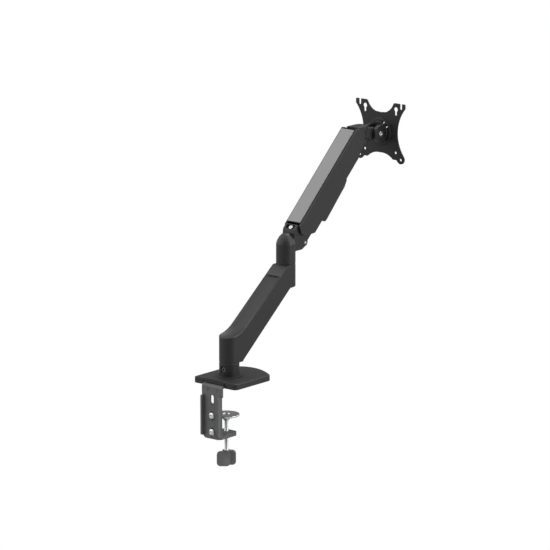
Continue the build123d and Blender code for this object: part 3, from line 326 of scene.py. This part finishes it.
def paint_tone(tree, shader, colour, mottle, highlight_colour, highlight_strength):
    """Base colour: mottled, with a painted highlight that lightens the sharp edges."""
    broad = noise(tree, MOTTLE_SCALE, MOTTLE_DETAIL)
    patches = spread(tree, broad, 1 - mottle, 1 + mottle)
    tone = blend_colours(tree, 1.0, colour, patches, "MULTIPLY")
    # Painted highlight: sharp edges (high pointiness) are mixed towards a lighter colour, as if
    # they caught the light.
    edges = tree.nodes.new("ShaderNodeNewGeometry")
    line = tree.nodes.new("ShaderNodeMapRange")
    line.inputs["From Min"].default_value = HIGHLIGHT_FROM
    line.inputs["From Max"].default_value = HIGHLIGHT_TO
    line.inputs["To Max"].default_value = highlight_strength
    tree.links.new(edges.outputs["Pointiness"], line.inputs["Value"])
    paint = blend_colours(tree, line.outputs["Result"], tone, highlight_colour)
    tree.links.new(paint, shader.inputs["Base Color"])
    return broad


def emboss(tree, shader, height, depth, strength=0.5):
    """Bump the surface by a height field of this depth, in metres."""
    bump = tree.nodes.new("ShaderNodeBump")
    bump.inputs["Strength"].default_value = strength
    bump.inputs["Distance"].default_value = depth
    tree.links.new(height, bump.inputs["Height"])
    tree.links.new(bump.outputs["Normal"], shader.inputs["Normal"])


print("finish layers ready")

# %% The finishes themselves
ARM_TILT = math.radians(-43.3)


def coated(name, colour, rough, grain=1100.0, depth=12e-6, highlight_colour=(0.09, 0.09, 0.09), highlight_strength=0.35):
    """Fine powder coat, as on the castings and the folded steel."""
    paint, tree, shader = new_finish(name)
    broad = paint_tone(tree, shader, colour, 0.08, highlight_colour, highlight_strength)
    tree.links.new(spread(tree, broad, rough - 0.05, rough + 0.05), shader.inputs["Roughness"])
    emboss(tree, shader, noise(tree, grain, 2.0), depth)
    return paint


def moulded(name, colour, rough, grain=1700.0):
    """Spark-textured plastic: finer and duller than a coat."""
    paint, tree, shader = new_finish(name)
    # The lighter colour and 0.3 passed here are the painted edge highlight.
    broad = paint_tone(tree, shader, colour, 0.05, tuple(2.2 * c for c in colour), 0.3)
    tree.links.new(spread(tree, broad, rough - 0.04, rough + 0.04), shader.inputs["Roughness"])
    emboss(tree, shader, noise(tree, grain, 3.0), 18e-6)
    return paint


def satin_metal(name, colour, rough):
    """Silver-grey strip with a faint drawn grain along the arm."""
    paint, tree, shader = new_finish(name)
    shader.inputs["Metallic"].default_value = 0.55
    # The light grey and 0.3 passed here are the painted edge highlight.
    paint_tone(tree, shader, colour, 0.04, (0.45, 0.45, 0.46), 0.3)
    drawn = noise(tree, 900.0, 2.0, (30.0, 1.0, 1.0), ARM_TILT)
    tree.links.new(spread(tree, drawn, rough - 0.05, rough + 0.05), shader.inputs["Roughness"])
    emboss(tree, shader, drawn, 5e-6)
    return paint


def plated(name, colour, rough):
    """Bright plated steel with a slightly cloudy passivation."""
    paint, tree, shader = new_finish(name)
    shader.inputs["Metallic"].default_value = 1.0
    # The near-white and 0.2 passed here are the painted edge highlight.
    broad = paint_tone(tree, shader, colour, 0.07, (0.9, 0.9, 0.9), 0.2)
    tree.links.new(spread(tree, broad, rough - 0.04, rough + 0.06), shader.inputs["Roughness"])
    emboss(tree, shader, noise(tree, 650.0, 2.0), 3e-6)
    return paint


def cellular(name, colour):
    """Closed-cell foam: small dull pits."""
    paint, tree, shader = new_finish(name)
    paint_tone(tree, shader, colour, 0.12, colour, 0.0)
    shader.inputs["Roughness"].default_value = 0.92
    coords = tree.nodes.new("ShaderNodeTexCoord")
    cells = tree.nodes.new("ShaderNodeTexVoronoi")
    cells.inputs["Scale"].default_value = 1400.0
    tree.links.new(coords.outputs["Object"], cells.inputs["Vector"])
    emboss(tree, shader, cells.outputs["Distance"], 120e-6)
    return paint


# The lighter edge colour and strength each finish is given make a painted edge highlight.
FINISHES = {
    "cast_black": coated("cast_black", (0.022, 0.022, 0.023), 0.40),
    "post_black": coated("post_black", (0.016, 0.016, 0.017), 0.33),
    "moulded_black": moulded("moulded_black", (0.024, 0.024, 0.025), 0.40),
    "channel_black": coated("channel_black", (0.012, 0.012, 0.013), 0.50),
    "cover_grey": satin_metal("cover_grey", (0.27, 0.27, 0.275), 0.34),
    "bracket_grey": coated(
        "bracket_grey", (0.105, 0.105, 0.106), 0.46, grain=700.0, depth=20e-6,
        highlight_colour=(0.22, 0.22, 0.22),
    ),
    "plate_black": coated("plate_black", (0.018, 0.018, 0.019), 0.46, grain=900.0),
    "zinc": plated("zinc", (0.93, 0.945, 0.95), 0.26),
    "steel_dark": plated("steel_dark", (0.09, 0.09, 0.095), 0.34),
    "bush_plastic": moulded("bush_plastic", (0.055, 0.055, 0.055), 0.48),
    "knob_plastic": moulded("knob_plastic", (0.15, 0.15, 0.151), 0.50, grain=1300.0),
    "foam": cellular("foam", (0.018, 0.018, 0.018)),
    "spring_black": coated("spring_black", (0.010, 0.010, 0.010), 0.20),
    "rod_chrome": plated("rod_chrome", (0.82, 0.82, 0.83), 0.08),
}
for name, node in nodes.items():
    for slot in node.material_slots:
        slot.material = FINISHES[slot_of[name]]
print("finishes made:", ", ".join(sorted(FINISHES)))

# %% [markdown]
# ## Broken edges
# A casting has no knife edges.  A rounded copy stands in for each visible CAD
# piece: the copy's loose triangles are joined up, flat faces are cleared of
# their inner edges, and a narrow bevel runs along every sharp edge.

# %% Round the edges of the visible pieces
SHARP = math.radians(34.0)
FLAT = math.radians(0.4)
BEVEL_STEPS = 3
WELD = 1e-6
SLACK = 2e-5
EDGE_WIDTHS = {
    "lower_arm": 0.9, "elbow_bracket": 0.8, "head_bracket": 0.6,
    "swivel_knuckle": 0.6, "tilt_hub": 0.6, "screen_plate": 0.5,
    "base_cover": 0.6, "post": 0.3, "skirt_ring": 0.3,
    "rear_bracket": 0.5, "jaw_bracket": 0.5, "clamp_knob": 1.4,
    "arm_side_left": 0.3, "arm_side_right": 0.3, "arm_top_cover": 0.3,
    "arm_channel": 0.25, "arm_cable_cover": 0.8, "lower_cable_cover": 0.6,
    "lower_link": 0.3, "adjuster_screw": 0.25, "pressure_disc": 0.3,
    "clamp_nut": 0.3, "tilt_bolt": 0.25, "swivel_pin": 0.25, "cover_feet": 0.6,
}


def welded_copy(node, name):
    """A CAD node's mesh as one joined skin without inner edges on its flats."""
    skin = bmesh.new()
    skin.from_mesh(nodes[node].data)
    bmesh.ops.remove_doubles(skin, verts=skin.verts, dist=WELD)
    bmesh.ops.dissolve_limit(skin, angle_limit=FLAT, verts=skin.verts, edges=skin.edges)
    bmesh.ops.recalc_face_normals(skin, faces=skin.faces)
    for face in skin.faces:
        face.smooth = True
    mesh = bpy.data.meshes.new(name)
    skin.to_mesh(mesh)
    skin.free()
    for layer in [a.name for a in mesh.attributes if a.name == "custom_normal"]:
        mesh.attributes.remove(mesh.attributes[layer])
    return mesh


def settle(piece):
    """Turn a piece's live modifiers into plain mesh."""
    bpy.context.view_layer.update()
    depsgraph = bpy.context.evaluated_depsgraph_get()
    mesh = bpy.data.meshes.new_from_object(
        piece.evaluated_get(depsgraph), preserve_all_data_layers=True, depsgraph=depsgraph
    )
    piece.modifiers.clear()
    piece.data = mesh
    return mesh


def stand_in(piece, node):
    """Let a finished piece take a CAD node's place, body and finish."""
    piece.data.materials.clear()
    piece.data.materials.append(FINISHES[slot_of[node]])
    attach(piece, body_of[node])
    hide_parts(node)


def stays_inside(mesh, node):
    """Whether a skin keeps within its CAD node's box."""
    low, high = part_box(node)
    return all(
        low[i] - SLACK <= vertex.co[i] <= high[i] + SLACK
        for vertex in mesh.vertices for i in range(3)
    )


def bevelled(node, width, clamp):
    """A welded copy with a narrow bevel on every sharp edge."""
    piece = bpy.data.objects.new(node + "_skin", welded_copy(node, node + "_skin"))
    scene.collection.objects.link(piece)
    bevel = piece.modifiers.new("broken edge", "BEVEL")
    bevel.width = width * MM
    bevel.segments = BEVEL_STEPS
    bevel.limit_method = "ANGLE"
    bevel.angle_limit = SHARP
    bevel.use_clamp_overlap = clamp
    weighted = piece.modifiers.new("flat faces stay flat", "WEIGHTED_NORMAL")
    weighted.keep_sharp = True
    settle(piece)
    return piece


def soften(node, width):
    """The CAD node's rounded stand-in; where a full bevel overshoots, a held-back one."""
    piece = bevelled(node, width, False)
    if not stays_inside(piece.data, node):
        bpy.data.objects.remove(piece)
        piece = bevelled(node, width, True)
        print(node, "needed a held-back bevel")
    stand_in(piece, node)
    return piece


faces = 0
for node, width in EDGE_WIDTHS.items():
    faces += len(soften(node, width).data.polygons)
print(len(EDGE_WIDTHS), "rounded pieces have", faces, "faces")

# %% [markdown]
# ## Turned and threaded parts
# A screw head is a turned profile with a six-sided socket, and a thread is a
# cylinder whose radius follows a helix.  Geometry Nodes set the screws out and
# roll the thread, so a change of count, pitch or depth is one number.

# %% Turn a profile
FACETS = 48
TIP_CHAMFER = 0.6
SOCKET_CHAMFER = 0.35


def six_sided(angle):
    """How much farther than its flat a hexagon reaches at this angle."""
    sixth = math.pi / 3
    return 1.0 / math.cos((angle % sixth) - sixth / 2)


def turned(name, rows):
    """A closed turned mesh from (radius, height, is a hexagon) rows, foot to head."""
    shape = bmesh.new()
    rings = []
    for radius, height, hexagon in rows:
        if radius == 0:
            rings.append([shape.verts.new((0, 0, height * MM))])
            continue
        ring = []
        for i in range(FACETS):
            angle = 2 * math.pi * i / FACETS
            reach = radius * MM * (six_sided(angle) if hexagon else 1.0)
            ring.append(shape.verts.new(
                (reach * math.cos(angle), reach * math.sin(angle), height * MM)
            ))
        rings.append(ring)
    for low, high in zip(rings, rings[1:]):
        for i in range(FACETS):
            j = (i + 1) % FACETS
            corners = [low[i % len(low)], low[j % len(low)]]
            corners += [high[j % len(high)], high[i % len(high)]]
            shape.faces.new(list(dict.fromkeys(corners)))
    bmesh.ops.recalc_face_normals(shape, faces=shape.faces)
    for face in shape.faces:
        face.smooth = True
    mesh = bpy.data.meshes.new(name)
    shape.to_mesh(mesh)
    shape.free()
    mesh.set_sharp_from_angle(angle=SHARP)
    return mesh


def pan_head(radius, height, socket, depth, shank, length):
    """Rows of a socket pan head on a shank whose head sits on height zero."""
    return [
        (0, -length, False), (shank - TIP_CHAMFER, -length, False),
        (shank, TIP_CHAMFER - length, False),
        (shank, 0, False), (radius, 0, False), (radius, 0.35 * height, False),
        (0.93 * radius, 0.66 * height, False), (0.78 * radius, 0.88 * height, False),
        (0.58 * radius, height, False), (socket + SOCKET_CHAMFER, height, True),
        (socket, height - SOCKET_CHAMFER, True), (socket, height - depth, True),
        (0, height - depth, False),
    ]


print("turning with", FACETS, "facets")

# %% Geometry Nodes helpers
def new_tree(name, inputs):
    """A geometry tree with named inputs; returns it with its two end nodes."""
    tree = bpy.data.node_groups.new(name, "GeometryNodeTree")
    tree.interface.new_socket("Geometry", in_out="INPUT", socket_type="NodeSocketGeometry")
    for label, kind in inputs:
        tree.interface.new_socket(label, in_out="INPUT", socket_type="NodeSocket" + kind)
    tree.interface.new_socket("Geometry", in_out="OUTPUT", socket_type="NodeSocketGeometry")
    return tree, tree.nodes.new("NodeGroupInput"), tree.nodes.new("NodeGroupOutput")


def end_tree(tree, geometry, given, end):
    """Realize what was placed, give it its material and hand it out."""
    real = tree.nodes.new("GeometryNodeRealizeInstances")
    painted = tree.nodes.new("GeometryNodeSetMaterial")
    tree.links.new(geometry, real.inputs[0])
    tree.links.new(real.outputs[0], painted.inputs["Geometry"])
    tree.links.new(given.outputs["Material"], painted.inputs["Material"])
    tree.links.new(painted.outputs[0], end.inputs[0])


def grow(name, mesh, tree, values):
    """Run a tree on a mesh with named values and keep the plain result."""
    piece = bpy.data.objects.new(name, mesh)
    scene.collection.objects.link(piece)
    modifier = piece.modifiers.new(tree.name, "NODES")
    modifier.node_group = tree
    for item in tree.interface.items_tree:
        if item.in_out == "INPUT" and item.name in values:
            modifier[item.identifier] = values[item.name]
    settle(piece)
    return piece


print("tree helpers ready")

# %% The tree that sets out screws
def screw_places():
    """Copies of one screw along a line, round a ring, or both."""
    tree, given, end = new_tree("set out screws", [
        ("Count", "Int"), ("Start", "Vector"), ("Step", "Vector"), ("Ring Radius", "Float"),
        ("Ring Start", "Float"), ("Turn", "Vector"), ("Material", "Material"),
    ])
    index = tree.nodes.new("GeometryNodeInputIndex").outputs[0]
    share = maths(tree, "DIVIDE", index, given.outputs["Count"])
    angle = maths(
        tree, "ADD", maths(tree, "MULTIPLY", share, 2 * math.pi), given.outputs["Ring Start"]
    )
    ring = tree.nodes.new("ShaderNodeCombineXYZ")
    for axis, wave in (("X", "COSINE"), ("Y", "SINE")):
        reach = maths(tree, "MULTIPLY", maths(tree, wave, angle), given.outputs["Ring Radius"])
        tree.links.new(reach, ring.inputs[axis])
    line = tree.nodes.new("ShaderNodeVectorMath")
    line.operation = "MULTIPLY_ADD"
    tree.links.new(given.outputs["Step"], line.inputs[0])
    tree.links.new(index, line.inputs[1])
    tree.links.new(given.outputs["Start"], line.inputs[2])
    place = tree.nodes.new("ShaderNodeVectorMath")
    place.operation = "ADD"
    tree.links.new(line.outputs[0], place.inputs[0])
    tree.links.new(ring.outputs[0], place.inputs[1])
    points = tree.nodes.new("GeometryNodePoints")
    tree.links.new(given.outputs["Count"], points.inputs["Count"])
    tree.links.new(place.outputs[0], points.inputs["Position"])
    copies = tree.nodes.new("GeometryNodeInstanceOnPoints")
    tree.links.new(points.outputs[0], copies.inputs["Points"])
    tree.links.new(given.outputs["Geometry"], copies.inputs["Instance"])
    tree.links.new(given.outputs["Turn"], copies.inputs["Rotation"])
    end_tree(tree, copies.outputs[0], given, end)
    return tree


SCREW_PLACES = screw_places()
print("the screw tree has", len(SCREW_PLACES.nodes), "nodes")

# %% Jaw screws and post screws
def jaw_screws():
    """Two pan heads, one above the other, that hold the jaw on the leg."""
    low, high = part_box("jaw_screws")
    head_r = (high.y - low.y) / 2 / MM
    head_h, shank_r, socket_r, socket_depth = 3.6, 3.0, 2.2, 2.4
    seat = low.x + head_h * MM
    rows = pan_head(head_r, head_h, socket_r, socket_depth, shank_r, (high.x - seat) / MM)
    spacing = (high.z - low.z) - 2 * head_r * MM
    piece = grow("jaw_screws_turned", turned("jaw_screw", rows), SCREW_PLACES, {
        "Count": 2, "Start": (seat, 0.0, high.z - head_r * MM), "Step": (0.0, 0.0, -spacing),
        "Ring Radius": 0.0, "Ring Start": 0.0, "Turn": (0.0, -math.pi / 2, 0.0),
        "Material": FINISHES["zinc"],
    })
    stand_in(piece, "jaw_screws")
    return piece


def post_screws():
    """Four flat heads in a ring under the post."""
    low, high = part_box("post_screws")
    head_r, head_h, ring = 4.5, 1.2, 9.0
    shank_r, socket_r, socket_depth = 2.5, 1.6, 0.9
    seat = low.z + head_h * MM
    rows = pan_head(head_r, head_h, socket_r, socket_depth, shank_r, (high.z - seat) / MM)
    piece = grow("post_screws_turned", turned("post_screw", rows), SCREW_PLACES, {
        "Count": 4, "Start": (0.0, 0.0, seat), "Step": (0.0, 0.0, 0.0),
        "Ring Radius": ring * MM, "Ring Start": math.pi / 4, "Turn": (math.pi, 0.0, 0.0),
        "Material": FINISHES["zinc"],
    })
    stand_in(piece, "post_screws")
    return piece


jaw_piece = jaw_screws()
post_piece = post_screws()
print("screws have", len(jaw_piece.data.polygons) + len(post_piece.data.polygons), "faces")

# %% The rolled thread
def rolled_thread():
    """A rod whose radius dips along a right-handed helix, plus what is given to it."""
    tree, given, end = new_tree("roll a thread", [
        ("Radius", "Float"), ("Depth", "Float"), ("Pitch", "Float"), ("Length", "Float"),
        ("Rings", "Int"), ("Foot", "Vector"), ("Material", "Material"),
    ])
    rod = tree.nodes.new("GeometryNodeMeshCylinder")
    rod.fill_type = "TRIANGLE_FAN"
    rod.inputs["Vertices"].default_value = FACETS
    for label, source in (("Side Segments", "Rings"), ("Radius", "Radius"), ("Depth", "Length")):
        tree.links.new(given.outputs[source], rod.inputs[label])
    position = tree.nodes.new("GeometryNodeInputPosition")
    split = tree.nodes.new("ShaderNodeSeparateXYZ")
    tree.links.new(position.outputs[0], split.inputs[0])
    x, y, z = split.outputs
    turns = maths(tree, "DIVIDE", maths(tree, "ARCTAN2", y, x), 2 * math.pi)
    climb = maths(tree, "DIVIDE", z, given.outputs["Pitch"])
    phase = maths(tree, "FRACT", maths(tree, "SUBTRACT", climb, turns))
    flank = maths(tree, "ABSOLUTE", maths(tree, "MULTIPLY_ADD", phase, 2.0, -1.0))
    half = maths(tree, "MULTIPLY", given.outputs["Length"], 0.5)
    left = maths(tree, "SUBTRACT", half, maths(tree, "ABSOLUTE", z))
    fade = maths(tree, "MINIMUM", maths(tree, "DIVIDE", left, given.outputs["Pitch"]), 1.0)
    dip = maths(tree, "MULTIPLY", maths(tree, "MULTIPLY", flank, fade), given.outputs["Depth"])
    shrink = maths(tree, "SUBTRACT", 1.0, maths(tree, "DIVIDE", dip, given.outputs["Radius"]))
    moved = tree.nodes.new("ShaderNodeCombineXYZ")
    tree.links.new(maths(tree, "MULTIPLY", x, shrink), moved.inputs["X"])
    tree.links.new(maths(tree, "MULTIPLY", y, shrink), moved.inputs["Y"])
    tree.links.new(z, moved.inputs["Z"])
    shaped = tree.nodes.new("GeometryNodeSetPosition")
    tree.links.new(rod.outputs["Mesh"], shaped.inputs["Geometry"])
    tree.links.new(moved.outputs[0], shaped.inputs["Position"])
    placed = tree.nodes.new("GeometryNodeTransform")
    tree.links.new(shaped.outputs[0], placed.inputs["Geometry"])
    tree.links.new(given.outputs["Foot"], placed.inputs["Translation"])
    both = tree.nodes.new("GeometryNodeJoinGeometry")
    tree.links.new(placed.outputs[0], both.inputs[0])
    tree.links.new(given.outputs["Geometry"], both.inputs[0])
    end_tree(tree, both.outputs[0], given, end)
    return tree


THREAD = rolled_thread()
PITCH = 1.25
THREAD_DEPTH = 0.5
RINGS_PER_PITCH = 8
ROD_R = 4.0
NECK_R = 2.98
NECK_IN_ROD = 0.8
RIVET_R = 4.8
RIVET_H = 1.55
RIVET_EDGE_H = 0.7
RIVET_FACE_R = 3.6
HUB_GAP = 0.3


def clamp_screw():
    """The threaded rod with the turned neck and riveted head that hold the disc."""
    low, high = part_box("clamp_screw")
    hub_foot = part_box("pressure_disc")[0].z / MM
    axis = Vector(((low.x + high.x) / 2, 0.0, 0.0))
    foot, top = low.z / MM, high.z / MM
    shoulder = hub_foot - HUB_GAP
    root = shoulder - NECK_IN_ROD
    rivet = top - RIVET_H
    neck = turned("clamp_neck", [
        (0, root, False), (NECK_R, root, False), (NECK_R, rivet, False), (RIVET_R, rivet, False),
        (RIVET_R, top - RIVET_EDGE_H, False), (RIVET_FACE_R, top, False), (0, top, False),
    ])
    neck.transform(Matrix.Translation(axis))
    length = shoulder - foot
    centre = axis + Vector((0.0, 0.0, (foot + shoulder) / 2 * MM))
    piece = grow("clamp_screw_threaded", neck, THREAD, {
        "Radius": ROD_R * MM, "Depth": THREAD_DEPTH * MM, "Pitch": PITCH * MM,
        "Length": length * MM, "Rings": round(length / PITCH * RINGS_PER_PITCH),
        "Foot": centre, "Material": FINISHES["zinc"],
    })
    stand_in(piece, "clamp_screw")
    return piece


rod_piece = clamp_screw()
print("the threaded rod has", len(rod_piece.data.polygons), "faces")
